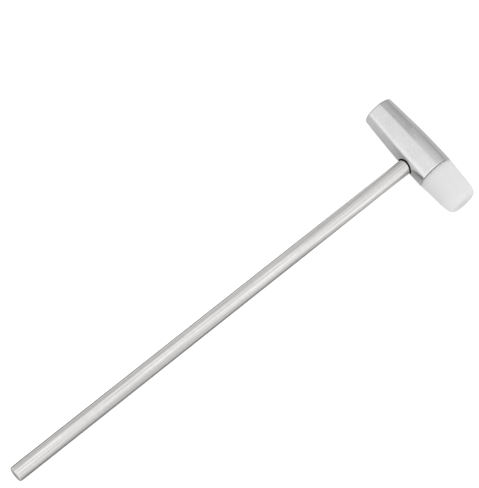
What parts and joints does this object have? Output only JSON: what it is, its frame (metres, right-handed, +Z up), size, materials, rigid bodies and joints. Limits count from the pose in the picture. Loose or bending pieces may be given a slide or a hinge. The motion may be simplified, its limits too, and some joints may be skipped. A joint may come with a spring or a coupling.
{
  "type": "reflex hammer",
  "caption": "Slim steel percussion hammer: a round bar handle set into a turned steel head with a tapered poll and a screw-on white plastic striking tip.",
  "frame": {"origin": "centre of the bounding box's bottom: the hammer lies on a surface at z = 0, on its barrel and on the end of its handle", "axes": "+X along the handle from its free end to the head (1.3 degrees above it, as it lies), -Y the way the striking tip points (1.7 degrees above it), +Z up"},
  "size_m": [0.2434, 0.0594, 0.0182],
  "materials": {
    "head_steel": "polished to a soft shine, turned all round",
    "handle_steel": "satin, brushed along its length",
    "stud_steel": "plain machined thread",
    "insert_brass": "plain machined",
    "tip_plastic": "white, slightly translucent, smooth satin"
  },
  "bodies": {
    "hammer": {"head_barrel": "head_steel", "handle": "handle_steel", "tip_stud": "stud_steel"},
    "tip_carrier": {"tip_insert": "insert_brass"},
    "tip": {"striking_tip": "tip_plastic"}
  },
  "joints": [
    {"name": "tip_travel", "type": "slide", "parent": "hammer", "child": "tip_carrier", "axis": [-0.0006, -0.9996, 0.0289], "range_m": [0, 0.0093]},
    {"name": "tip_turn", "type": "hinge", "parent": "tip_carrier", "child": "tip", "pos_m": [0.11276, 0.00063, 0.00894], "axis": [-0.0006, -0.9996, 0.0289], "range_deg": [0, 3330]}
  ],
  "couplings": [
    {"joint": "tip_travel", "follows": "tip_turn", "m_per_rad": 0.00015915}
  ]
}
